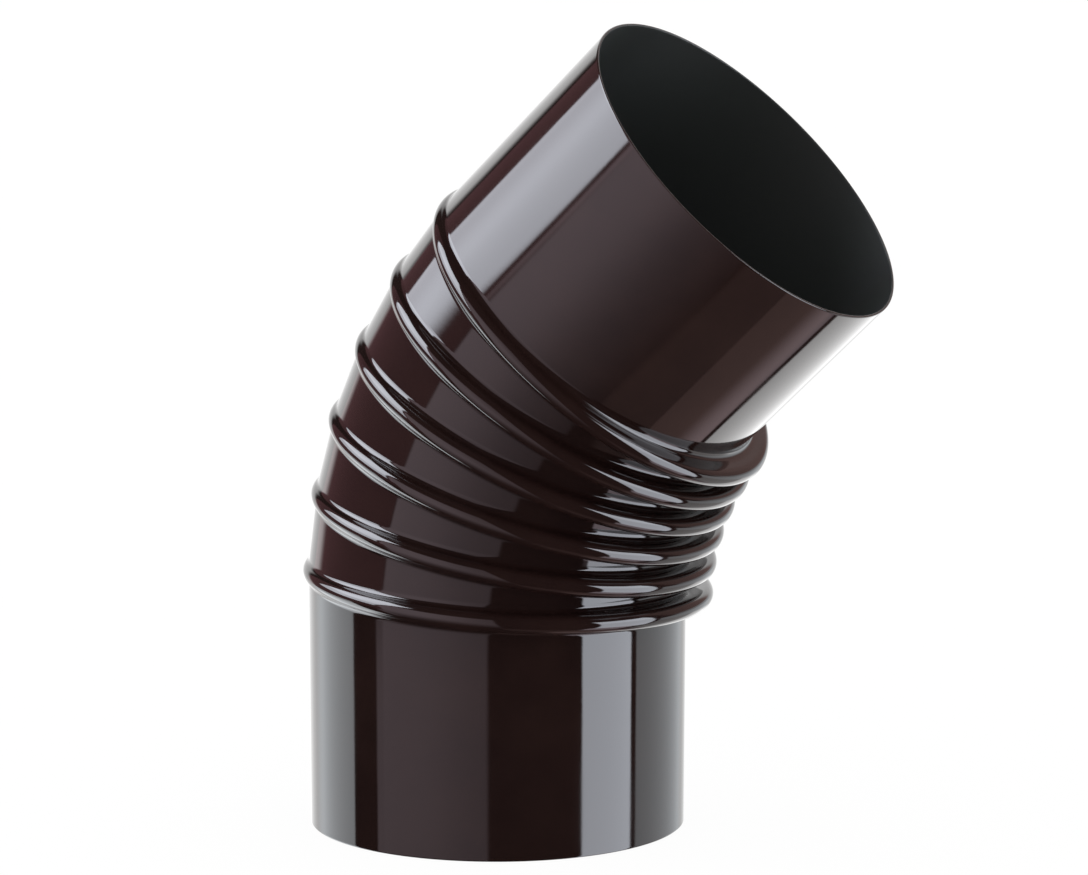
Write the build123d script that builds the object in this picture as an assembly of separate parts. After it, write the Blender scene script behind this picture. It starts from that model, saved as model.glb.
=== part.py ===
from build123d import *
import os
from math import cos, radians, sin, tan

# Pleated stovepipe elbow in enamelled sheet steel, one piece.
# Millimetres and degrees. The lower rim lies on z = 0 with its centre at the origin,
# the lower pipe runs up +Z and the bend turns towards +X, mirrored about the XZ plane.

# Pipe
pipe_diameter = 120.4      # outside, between the pleats
wall = 0.9                 # sheet with its enamel
rim_round = 0.3            # enamel rounding along the edges of both rims

# Bend
bend_angle = 45.0
bend_radius = 140.0        # of the centre line
lower_straight = 71.0      # lower rim to the start of the bend
upper_straight = 63.0      # end of the bend to the upper rim

# Pleats, one at each mitre of the bend
pleat_count = 6
pleat_drop = 1.6           # from a mitre back along the pipe to the middle of its pleat
crest_inside = 9.3         # height of a fold on the inside of the bend
crest_outside = 1.3        # height of a fold on the outside of the bend
fold_width = 5.8           # across a fold, outside
foot_round = 2.0           # rounding at the foot of a fold, outside

# Ends: the lower one plugs into the socket of the next pipe, and the upper one is such a socket
spigot_draw = 0.4          # the spigot's radius below the pipe's
spigot_length = 50.0       # lower rim to the taper that widens to the pipe
socket_depth = 40.0        # upper rim to the taper that narrows to the pipe
joint_clearance = 0.25     # radial gap between a spigot and a socket

# Sizes that follow
pipe_radius = pipe_diameter / 2
spigot_radius = pipe_radius - spigot_draw
socket_radius = spigot_radius + joint_clearance + wall
turn = bend_angle / pleat_count
corner = bend_radius * tan(radians(turn / 2))
fold_half = fold_width / 2
crest_radius = pipe_radius + (crest_inside + crest_outside) / 2
crest_shift = (crest_inside - crest_outside) / 2


def cross_plane(point, tilt):
    """Plane across the pipe at a point of its axis, tilted towards +X, with x to the inside of the bend."""
    angle = radians(tilt)
    return Plane(
        origin=point,
        x_dir=(cos(angle), 0, -sin(angle)),
        z_dir=(sin(angle), 0, cos(angle)),
    )


def axis_points():
    """Corners of the centre line, from the lower rim over each mitre to the upper rim."""
    points = [Vector(0, 0, 0), Vector(0, 0, lower_straight + corner)]
    for index in range(1, pleat_count):
        points.append(points[-1] + cross_plane(points[-1], index * turn).z_dir * (2 * corner))
    points.append(points[-1] + cross_plane(points[-1], bend_angle).z_dir * (corner + upper_straight))
    return points


def pleat_planes():
    """Middle plane of each pleat, parallel to its mitre."""
    mitres = [cross_plane(p, (i + 0.5) * turn) for i, p in enumerate(axis_points()[1:-1])]
    return [mitre.offset(-pleat_drop) for mitre in mitres]


def gore(index, inset):
    """Solid round length between two pleats, cut off at their middle planes."""
    start, end = axis_points()[index : index + 2]
    leg = cross_plane((start + end) / 2, index * turn)
    rod = leg * Cylinder(pipe_radius - inset, (end - start).length + 2 * pipe_diameter)
    rod = split(rod, pleat_planes()[index - 1], keep=Keep.TOP)
    return split(rod, pleat_planes()[index], keep=Keep.BOTTOM)


def end_length(radius, straight, to_mitre, inset):
    """Solid end of the pipe with its rim on z = 0: a straight part, then a taper to the pipe's radius."""
    taper = to_mitre - straight
    widening = pipe_radius - radius
    on_base = (Align.CENTER, Align.CENTER, Align.MIN)
    plain = Cylinder(radius - inset, straight, align=on_base)
    # the taper has the pipe's radius at the mitre and runs on, for the tilted plane of the pleat to cut
    cone = Cone(radius - inset, radius + 2 * widening - inset, 2 * taper, align=on_base)
    return plain + Pos(0, 0, straight) * cone


def fold_disc(inset):
    """Disc with a fully rounded edge, whose rim is the crest of a pleat."""
    reach = crest_radius - fold_half
    half = fold_half - inset
    section = Plane.XZ * (
        Rectangle(reach, 2 * half, align=(Align.MIN, Align.CENTER)) + Pos(reach, 0) * Circle(half)
    )
    return revolve(section, Axis.Z)


def filled_elbow(inset):
    """The elbow without its hollow, drawn in by an inset all over, with rounded feet to its pleats."""
    points = axis_points()
    pleats = pleat_planes()
    spigot = end_length(spigot_radius, spigot_length, lower_straight + corner, inset)
    socket = end_length(socket_radius, socket_depth, upper_straight + corner, inset)
    lower = split(cross_plane(points[0], 0) * spigot, pleats[0], keep=Keep.BOTTOM)
    upper = split(cross_plane(points[-1], bend_angle + 180) * socket, pleats[-1], keep=Keep.TOP)
    gores = [gore(index, inset) for index in range(1, pleat_count)]
    discs = [plane * Pos(crest_shift, 0, 0) * fold_disc(inset) for plane in pleats]
    body = lower.fuse(upper, *gores, *discs)
    faces = body.faces()
    pipes = faces.filter_by(GeomType.CYLINDER) + faces.filter_by(GeomType.CONE)
    ends = faces.filter_by(lambda face: face.is_planar and len(face.edges()) == 1)
    folds = faces - pipes - ends
    feet = pipes.edges() & folds.edges()
    return body.fillet(foot_round + inset, feet)


# The sheet is what lies between the outer skin and the same skin drawn in by the wall.
elbow = filled_elbow(0) - filled_elbow(wall)
rims = elbow.faces().filter_by(GeomType.PLANE).filter_by(lambda face: len(face.edges()) == 2).edges()
elbow = elbow.fillet(rim_round, rims)

os.makedirs("parts", exist_ok=True)
export_step(elbow, "parts/pleated_elbow.step")
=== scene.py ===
from math import cos, degrees, radians, sin, tan

import bpy
import numpy as np
from mathutils import Matrix, Vector


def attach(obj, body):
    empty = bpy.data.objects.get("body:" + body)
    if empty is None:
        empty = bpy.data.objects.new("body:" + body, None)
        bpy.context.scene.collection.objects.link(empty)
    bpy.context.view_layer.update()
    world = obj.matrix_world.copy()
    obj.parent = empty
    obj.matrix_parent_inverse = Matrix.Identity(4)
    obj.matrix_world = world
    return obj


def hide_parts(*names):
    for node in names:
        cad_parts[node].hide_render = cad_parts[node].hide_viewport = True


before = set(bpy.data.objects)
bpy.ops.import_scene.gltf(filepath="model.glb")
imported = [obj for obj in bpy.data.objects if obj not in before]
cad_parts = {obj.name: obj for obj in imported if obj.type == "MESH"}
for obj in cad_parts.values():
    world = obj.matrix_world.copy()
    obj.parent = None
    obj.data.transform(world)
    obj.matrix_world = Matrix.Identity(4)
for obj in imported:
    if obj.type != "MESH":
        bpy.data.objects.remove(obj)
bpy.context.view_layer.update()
scene = bpy.context.scene
scene.view_settings.view_transform = "Standard"

# Sizes of the elbow, as in its solid, but with ends that taper over their whole length. Metres and degrees.
PIPE_RADIUS = 0.0602
WALL = 0.0009
RIM_ROUND = 0.0003
BEND_ANGLE = 45.0
BEND_RADIUS = 0.140
LOWER_STRAIGHT = 0.071
UPPER_STRAIGHT = 0.063
PLEAT_COUNT = 6
PLEAT_DROP = 0.0016
CREST_INSIDE = 0.0093
CREST_OUTSIDE = 0.0013
FOLD_WIDTH = 0.0058
FOOT_ROUND = 0.0020
SPIGOT_RADIUS = 0.0598
SOCKET_RADIUS = 0.06095

TURN = BEND_ANGLE / PLEAT_COUNT
CORNER = BEND_RADIUS * tan(radians(TURN / 2))
CREST_SHIFT = (CREST_INSIDE - CREST_OUTSIDE) / 2
RIM_REACH = PIPE_RADIUS + (CREST_INSIDE + CREST_OUTSIDE - FOLD_WIDTH) / 2

# Mesh: columns round the pipe, and steps along the outer and the inner skin of a fold
COLUMNS = 192
FOOT_STEPS = {0.0: 9, WALL: 4}
FOLD_STEPS = {0.0: 13, WALL: 5}
RIM_STEPS = 3
GORE_SHARES = (0.25, 0.5, 0.75)
END_SHARES = (0.2, 0.4, 0.6, 0.8)
# A row this near to a foot or a rim keeps the shading of the pipe beside it straight
MARGIN = 0.0003
LARGEST_MARGIN_SHARE = 0.1
# The flat of a fold counts as this much of its length when the steps are shared out
FLAT_WEIGHT = 0.33

# Camera: where it stands round the elbow and how far off it is,
# and the point of the elbow's frame that is in the middle of the picture
AZIMUTH = radians(24.42)
ELEVATION = radians(9.72)
DISTANCE = 2.0
PIXELS_PER_METRE = 3113.0
PICTURE_WIDTH = 1088
SENSOR_WIDTH = 36.0
ASIDE = 0.01493
UP = 0.12228

to_camera = Vector((sin(AZIMUTH) * cos(ELEVATION), -cos(AZIMUTH) * cos(ELEVATION), sin(ELEVATION)))
right = Vector((cos(AZIMUTH), sin(AZIMUTH), 0.0))
upward = to_camera.cross(right)
forward = Vector((sin(AZIMUTH), -cos(AZIMUTH), 0.0))

# Light that falls on matt surfaces, and the darkest part of the studio that gloss reflects
PLAIN_LIGHT = 0.9
DARK_ROOM = (0.02, 0.02, 0.02)

# Tints of the studio's lights and of what they light up
COOL = (0.95, 1.0, 1.1)
CARD = (0.96, 1.01, 1.05)
WHITE = (1.0, 1.0, 1.0)
MAUVE = (1.15, 0.95, 1.05)
RED = (1.7, 0.75, 0.85)
BROWN = (1.38, 0.9, 0.83)

# Floor: white to the camera, but for a faint shadow
FLOOR_WIDTH = 8.0
FLOOR_DROP = 0.0002
FLOOR_GREY = 0.85
FLOOR_WHITE = 1.02
FLOOR_WHITE_SHARE = 0.94

# Enamel: its two browns outside, its grey inside, and the heights of its waves and pebbles
DEEP_BROWN = (0.0150, 0.0072, 0.0066)
PALE_BROWN = (0.0200, 0.0098, 0.0086)
INSIDE_GREY = (0.0235, 0.0260, 0.0250)
SMOOTHEST = 0.035
ROUGHEST = 0.075
INSIDE_ROUGHNESS = 0.4
GLASS_IOR = 1.5
WAVE_HEIGHT = 0.00004
PEBBLE_HEIGHT = 0.000002
# A noise texture is spread over this part of its range
NOISE_LOW = 0.3
NOISE_HIGH = 0.7


class Pipe:
    """A straight length of round pipe. A point on it has an angle round it and a distance along it."""

    def __init__(self, start, tilt):
        angle = radians(tilt)
        self.start = start
        self.inward = np.array([cos(angle), 0.0, -sin(angle)])
        self.sideways = np.array([0.0, 1.0, 0.0])
        self.along = np.array([sin(angle), 0.0, cos(angle)])

    def ways(self, angles):
        """Unit vectors out from the axis."""
        return np.outer(np.cos(angles), self.inward) + np.outer(np.sin(angles), self.sideways)

    def row(self, angles, distance, radius):
        """Points round the pipe."""
        return self.start + self.ways(angles) * radius + np.outer(distance, self.along)

    def place(self, row):
        """Angle and distance of each point in a row."""
        offset = row - self.start
        return np.arctan2(offset @ self.sideways, offset @ self.inward), offset @ self.along

    def reach(self, origin, ways, radius):
        """How far the pipe's surface lies from an origin, in each of some ways out from it."""
        across = ways - np.outer(ways @ self.along, self.along)
        offset = origin - self.start
        offset = offset - (offset @ self.along) * self.along
        square = (across**2).sum(axis=1)
        half = across @ offset
        return (np.sqrt(half**2 - square * (offset @ offset - radius**2)) - half) / square


def fold_side(centre, ways, up, pipe, inset):
    """Half of a fold in rows of points, from its rounded foot on a pipe to its crest."""
    half = FOLD_WIDTH / 2 - inset
    foot = FOOT_ROUND + inset
    radius = PIPE_RADIUS - inset
    at_fold = pipe.reach(centre + up * half, ways, radius)
    slope = (pipe.reach(centre + up * (half + foot), ways, radius) - at_fold) / foot
    steep = np.hypot(1.0, slope)

    # The foot's centre lies beside the flat of the fold, or beside its round rim where the fold is low
    clear = half + foot
    base = at_fold + foot * steep - slope * half - RIM_REACH
    beside_rim = (np.sqrt(np.maximum(clear**2 * steep**2 - base**2, 0.0)) - base * slope) / steep**2
    lift = np.where(base + slope * clear > 0.0, beside_rim, clear)
    out = base + slope * lift
    flat = np.maximum(-out, 0.0)
    bend = np.arctan2(lift, np.maximum(out, 0.0))

    profile = []
    first = np.pi - np.arctan(slope)
    for share in np.linspace(0.0, 1.0, FOOT_STEPS[inset] + 1):
        angle = first + (np.pi + bend - first) * share
        profile.append((out + foot * np.cos(angle), lift + foot * np.sin(angle)))
    for share in np.linspace(0.0, 1.0, FOLD_STEPS[inset] + 1)[1:]:
        gone = share * (FLAT_WEIGHT * flat + half * bend)
        angle = bend - np.maximum(gone - FLAT_WEIGHT * flat, 0.0) / half
        on_flat = np.minimum(gone / FLAT_WEIGHT, flat) - flat
        profile.append((on_flat + half * np.cos(angle), half * np.sin(angle)))
    return [centre + ways * (RIM_REACH + far)[:, None] + np.outer(high, up) for far, high in profile]


def pleat_rows(index, mitres, pipes, inset):
    """A pleat in rows of points, from the foot below it to the foot above it."""
    plane = Pipe(mitres[index], (index + 0.5) * TURN)
    centre = plane.start - plane.along * PLEAT_DROP + plane.inward * CREST_SHIFT
    ways = plane.ways(np.linspace(0.0, 2 * np.pi, COLUMNS, endpoint=False))
    below = fold_side(centre, ways, -plane.along, pipes[index], inset)
    above = fold_side(centre, ways, plane.along, pipes[index + 1], inset)
    return below + above[-2::-1]


def gore_rows(pipe, below, above, inset):
    """The pipe between two pleats."""
    start, low = pipe.place(below)
    end, high = pipe.place(above)
    swing = (end - start + np.pi) % (2 * np.pi) - np.pi
    length = high - low
    margin = np.minimum(MARGIN / length, LARGEST_MARGIN_SHARE)
    shares = [margin, *GORE_SHARES, 1.0 - margin]
    return [pipe.row(start + swing * s, low + length * s, PIPE_RADIUS - inset) for s in shares]


def end_rows(pipe, foot, radius, inset):
    """An end of the elbow, in a slight taper from its rim at the pipe's start to a pleat's foot."""
    angles, distance = pipe.place(foot)
    side = 1.0 if inset == 0.0 else -1.0
    to_bend = np.sign(distance)
    rows = []
    for angle in np.linspace(0.0, np.pi / 2, RIM_STEPS + 1):
        inwards = side * RIM_ROUND * (1 - sin(angle))
        rows.append(pipe.row(angles, to_bend * RIM_ROUND * (1 - cos(angle)), radius - inset - inwards))
    length = np.abs(distance) - RIM_ROUND
    margin = MARGIN / length
    for share in [margin, *(np.full(COLUMNS, share) for share in END_SHARES), 1.0 - margin]:
        width = radius + (PIPE_RADIUS - radius) * share - inset
        rows.append(pipe.row(angles, to_bend * (RIM_ROUND + length * share), width[:, None]))
    return rows


def skin(inset):
    """One skin of the sheet in rows of points, from the lower rim to the upper rim."""
    mitres = [np.array([0.0, 0.0, LOWER_STRAIGHT + CORNER])]
    pipes = [Pipe(np.zeros(3), 0.0)]
    for index in range(1, PLEAT_COUNT):
        pipes.append(Pipe(mitres[-1], index * TURN))
        mitres.append(mitres[-1] + pipes[-1].along * 2 * CORNER)
    upper = Pipe(mitres[-1], BEND_ANGLE)
    pipes.append(Pipe(upper.start + upper.along * (CORNER + UPPER_STRAIGHT), BEND_ANGLE))

    pleats = [pleat_rows(index, mitres, pipes, inset) for index in range(PLEAT_COUNT)]
    rows = end_rows(pipes[0], pleats[0][0], SPIGOT_RADIUS, inset)
    for index, pleat in enumerate(pleats):
        if index > 0:
            rows += gore_rows(pipes[index], rows[-1], pleat[0], inset)
        rows += pleat
    return rows + end_rows(pipes[-1], rows[-1], SOCKET_RADIUS, inset)[::-1]


def add_elbow():
    """The elbow's sheet as one closed mesh of even quads: up its outer skin and down its inner one."""
    outer = skin(0.0)
    inner = skin(WALL)[::-1]
    rows = np.array(outer + inner)
    count = len(rows)
    row, column = np.divmod(np.arange(count * COLUMNS), COLUMNS)
    next_row = (row + 1) % count * COLUMNS
    next_column = (column + 1) % COLUMNS
    row = row * COLUMNS
    quads = np.stack([row + column, row + next_column, next_row + next_column, next_row + column], axis=1)
    mesh = bpy.data.meshes.new("enamelled_elbow")
    mesh.from_pydata(rows.reshape(-1, 3).tolist(), [], quads.tolist())
    mesh.shade_smooth()
    inside = mesh.attributes.new("inside", "FLOAT", "POINT")
    inside.data.foreach_set("value", np.repeat([0.0, 1.0], [len(outer) * COLUMNS, len(inner) * COLUMNS]))
    mesh.materials.append(enamel())
    elbow = bpy.data.objects.new("enamelled_elbow", mesh)
    scene.collection.objects.link(elbow)
    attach(elbow, "root")
    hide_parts("pleated_elbow")


class Nodes:
    """Short calls for building a node tree."""

    def __init__(self, owner):
        owner.use_nodes = True
        self.tree = owner.node_tree
        self.tree.nodes.clear()

    def add(self, kind, **values):
        node = self.tree.nodes.new(kind)
        for key, value in values.items():
            setattr(node, key, value)
        return node

    def put(self, socket, value):
        """Links an output to a socket, or sets the socket to a plain value."""
        if isinstance(value, bpy.types.NodeSocket):
            self.tree.links.new(value, socket)
        else:
            socket.default_value = value

    def put_all(self, sockets, values):
        for socket, value in zip(sockets, values):
            self.put(socket, value)

    def math(self, operation, *values):
        node = self.add("ShaderNodeMath", operation=operation)
        self.put_all(node.inputs, values)
        return node.outputs[0]

    def dot(self, *values):
        node = self.add("ShaderNodeVectorMath", operation="DOT_PRODUCT")
        self.put_all(node.inputs, values)
        return node.outputs["Value"]

    def sum(self, *values):
        node = self.add("ShaderNodeVectorMath", operation="ADD")
        self.put_all(node.inputs, values)
        return node.outputs["Vector"]

    def scaled(self, value, scale):
        node = self.add("ShaderNodeVectorMath", operation="SCALE")
        self.put(node.inputs["Vector"], value)
        self.put(node.inputs["Scale"], scale)
        return node.outputs["Vector"]

    def ramp(self, value, start, end, low=0.0, high=1.0):
        """A smooth step from one level to another."""
        node = self.add("ShaderNodeMapRange", interpolation_type="SMOOTHSTEP")
        self.put(node.inputs["Value"], value)
        for name, number in (("From Min", start), ("From Max", end), ("To Min", low), ("To Max", high)):
            node.inputs[name].default_value = number
        return node.outputs["Result"]

    def window(self, value, ends, soft):
        """1 between two ends and 0 outside them, with a soft edge at each."""
        start, end = ends
        first, last = soft
        rise = self.ramp(value, start - first, start + first)
        fall = self.ramp(value, end - last, end + last, 1.0, 0.0)
        return self.math("MULTIPLY", rise, fall)

    def noise(self, where, scale, detail):
        node = self.add("ShaderNodeTexNoise")
        self.put(node.inputs["Vector"], where)
        node.inputs["Scale"].default_value = scale
        node.inputs["Detail"].default_value = detail
        return node.outputs["Fac"]

    def clouds(self, noise, first, second):
        """A colour that goes from one to another with a noise."""
        node = self.add("ShaderNodeValToRGB")
        self.put(node.inputs["Fac"], noise)
        for element, place, colour in zip(node.color_ramp.elements, (NOISE_LOW, NOISE_HIGH), (first, second)):
            element.position = place
            element.color = (*colour, 1.0)
        return node.outputs["Color"]

    def blend(self, share, first, second):
        """A colour between two others."""
        node = self.add("ShaderNodeMix", data_type="RGBA")
        sockets = {socket.identifier: socket for socket in [*node.inputs, *node.outputs]}
        self.put(sockets["Factor_Float"], share)
        self.put(sockets["A_Color"], first)
        self.put(sockets["B_Color"], second)
        return sockets["Result_Color"]

    def bump(self, height, distance, normal=None):
        node = self.add("ShaderNodeBump")
        node.inputs["Strength"].default_value = 1.0
        node.inputs["Distance"].default_value = distance
        self.put(node.inputs["Height"], height)
        if normal is not None:
            self.put(node.inputs["Normal"], normal)
        return node.outputs["Normal"]

    def background(self, colour, strength):
        node = self.add("ShaderNodeBackground")
        self.put(node.inputs["Color"], colour)
        node.inputs["Strength"].default_value = strength
        return node.outputs[0]

    def choose(self, share, first, second):
        """A shader, or a share of another one in its place."""
        node = self.add("ShaderNodeMixShader")
        self.put_all(node.inputs, (share, first, second))
        return node.outputs[0]


def add_studio():
    """White behind the object. Gloss sees a studio of softboxes, cards and dim walls round a dark middle."""
    scene.world = bpy.data.worlds.new("studio")
    n = Nodes(scene.world)
    way = n.add("ShaderNodeTexCoord").outputs["Generated"]
    side = n.math("MULTIPLY", n.math("ARCTAN2", n.dot(way, right), n.dot(way, forward)), degrees(1.0))
    rise = n.math("MULTIPLY", n.math("ARCSINE", n.dot(way, (0.0, 0.0, 1.0))), degrees(1.0))

    def panel(level, tint, sides, rises, soft=(1.0, 1.0), blur=(2.0, 2.0), lean=0.0):
        """A panel between two angles to the camera's side and two of rise, with how soft its edges are."""
        across = n.math("MULTIPLY_ADD", rise, lean, side)
        patch = n.math("MULTIPLY", n.window(across, sides, soft), n.window(rise, rises, blur))
        return n.scaled(tint, n.math("MULTIPLY", patch, level))

    panels = [
        # Softbox on the right, brighter above, with its light on the floor below it
        panel(6.1, COOL, (53.5, 90.0), (-34.0, 9.0), blur=(6.0, 3.0)),
        panel(7.5, COOL, (53.5, 90.0), (9.0, 29.0), blur=(3.0, 3.0)),
        panel(1.8, MAUVE, (50.0, 84.0), (-52.0, -34.0), blur=(4.0, 6.0)),
        # Softbox high on the left, brighter above
        panel(3.8, COOL, (-131.0, -79.0), (12.5, 60.0)),
        panel(2.9, COOL, (-117.0, -79.0), (12.5, 60.0), soft=(12.0, 1.0)),
        panel(3.0, COOL, (-131.0, -79.0), (28.0, 60.0), blur=(5.0, 2.0)),
        # Card low on the left, brighter below
        panel(2.4, CARD, (-141.0, -98.0), (-48.0, -9.6), soft=(8.0, 1.0), blur=(4.0, 0.8)),
        panel(2.0, CARD, (-141.0, -98.0), (-48.0, -18.0), soft=(8.0, 1.0), blur=(4.0, 3.0)),
        # Wall in front on the left
        panel(0.55, MAUVE, (-73.5, -5.5), (-32.0, 45.0), soft=(1.0, 1.5), blur=(28.0, 6.0)),
        panel(0.6, MAUVE, (-73.5, -28.0), (-12.0, 45.0), soft=(1.0, 26.0), blur=(20.0, 6.0)),
        panel(0.7, MAUVE, (-78.5, -73.5), (-40.0, -11.5), blur=(4.0, 1.0)),
        panel(1.15, MAUVE, (-76.5, -73.5), (10.0, 45.0)),
        # Wall behind on the right, and the floor before it with a dark gap in it
        panel(1.45, CARD, (94.5, 152.0), (-18.0, -2.0), soft=(1.0, 6.0)),
        panel(0.9, CARD, (108.0, 152.0), (-2.0, 5.0), soft=(6.0, 6.0), blur=(2.0, 3.0)),
        panel(0.3, BROWN, (100.0, 152.0), (5.0, 50.0), soft=(6.0, 6.0), blur=(3.0, 8.0)),
        panel(1.1, WHITE, (94.5, 131.0), (-50.0, -18.0), blur=(4.0, 3.0)),
        panel(2.4, WHITE, (131.0, 172.0), (-64.0, -18.0), soft=(1.0, 6.0), blur=(4.0, 3.0)),
        panel(0.7, MAUVE, (108.0, 127.0), (-80.0, -50.0), soft=(14.0, 1.0), blur=(4.0, 4.0)),
        panel(0.36, BROWN, (48.0, 127.0), (-80.0, -56.0)),
        # Backdrop
        panel(1.1, WHITE, (152.0, 190.0), (-18.0, 40.0), soft=(6.0, 1.0)),
        panel(1.25, WHITE, (-190.0, -143.0), (-9.6, 60.0), soft=(1.0, 5.0), blur=(0.8, 4.0), lean=0.75),
        panel(1.45, WHITE, (-190.0, -141.0), (-70.0, -9.6), soft=(1.0, 8.0), blur=(4.0, 0.8)),
        # Dim wall on the left, and the dim floor in front
        panel(0.15, RED, (-148.0, -74.0), (-9.6, 60.0), blur=(0.8, 4.0)),
        panel(0.14, BROWN, (-8.0, 48.0), (-80.0, -51.0)),
    ]
    light = DARK_ROOM
    for each in panels:
        light = n.sum(each, light)
    path = n.add("ShaderNodeLightPath").outputs
    plain = n.background((1.0, 1.0, 1.0, 1.0), PLAIN_LIGHT)
    white = n.background((1.0, 1.0, 1.0, 1.0), 1.0)
    lit = n.choose(path["Is Glossy Ray"], plain, n.background(light, 1.0))
    seen = n.choose(path["Is Camera Ray"], lit, white)
    n.put(n.add("ShaderNodeOutputWorld").inputs["Surface"], seen)


def add_floor():
    """A pale floor just under the elbow."""
    half = FLOOR_WIDTH / 2
    corners = [(-half, -half, 0.0), (half, -half, 0.0), (half, half, 0.0), (-half, half, 0.0)]
    mesh = bpy.data.meshes.new("floor")
    mesh.from_pydata(corners, [], [(0, 1, 2, 3)])
    floor = bpy.data.objects.new("floor", mesh)
    scene.collection.objects.link(floor)
    floor.location.z = -FLOOR_DROP
    floor.visible_glossy = False

    material = bpy.data.materials.new("floor")
    n = Nodes(material)
    matt = n.add("ShaderNodeBsdfDiffuse")
    matt.inputs["Color"].default_value = (FLOOR_GREY, FLOOR_GREY, FLOOR_GREY, 1.0)
    white = n.add("ShaderNodeEmission")
    white.inputs["Strength"].default_value = FLOOR_WHITE
    seen = n.add("ShaderNodeLightPath").outputs["Is Camera Ray"]
    share = n.math("MULTIPLY", seen, FLOOR_WHITE_SHARE)
    surface = n.choose(share, matt.outputs[0], white.outputs[0])
    n.put(n.add("ShaderNodeOutputMaterial").inputs["Surface"], surface)
    mesh.materials.append(material)


def enamel():
    """Gloss brown enamel, dull grey inside: clouded in colour, a little wavy and finely pebbled."""
    material = bpy.data.materials.new("enamel")
    n = Nodes(material)
    where = n.add("ShaderNodeTexCoord").outputs["Object"]
    inside = n.add("ShaderNodeAttribute", attribute_name="inside").outputs["Fac"]
    brown = n.clouds(n.noise(where, 60.0, 5.0), DEEP_BROWN, PALE_BROWN)
    colour = n.blend(inside, brown, (*INSIDE_GREY, 1.0))
    gloss = n.ramp(n.noise(where, 25.0, 4.0), NOISE_LOW, NOISE_HIGH, SMOOTHEST, ROUGHEST)
    roughness = n.math("MULTIPLY_ADD", inside, INSIDE_ROUGHNESS, gloss)
    waves = n.bump(n.noise(where, 35.0, 1.0), WAVE_HEIGHT)
    pebbles = n.bump(n.noise(where, 700.0, 2.0), PEBBLE_HEIGHT, waves)

    bsdf = n.add("ShaderNodeBsdfPrincipled")
    bsdf.inputs["IOR"].default_value = GLASS_IOR
    n.put(bsdf.inputs["Base Color"], colour)
    n.put(bsdf.inputs["Roughness"], roughness)
    n.put(bsdf.inputs["Normal"], pebbles)
    n.put(n.add("ShaderNodeOutputMaterial").inputs["Surface"], bsdf.outputs[0])
    return material


def add_camera():
    """The camera at the photograph's angle."""
    data = bpy.data.cameras.new("camera")
    data.sensor_fit = "HORIZONTAL"
    data.sensor_width = SENSOR_WIDTH
    data.lens = SENSOR_WIDTH * PIXELS_PER_METRE * DISTANCE / PICTURE_WIDTH
    data.clip_start = 0.05
    data.clip_end = 50.0
    camera = bpy.data.objects.new("camera", data)
    scene.collection.objects.link(camera)
    place = right * ASIDE + upward * UP + to_camera * DISTANCE
    turn = Matrix((right, upward, to_camera)).transposed().to_4x4()
    camera.matrix_world = Matrix.Translation(place) @ turn
    scene.camera = camera


add_camera()
add_studio()
add_floor()
add_elbow()
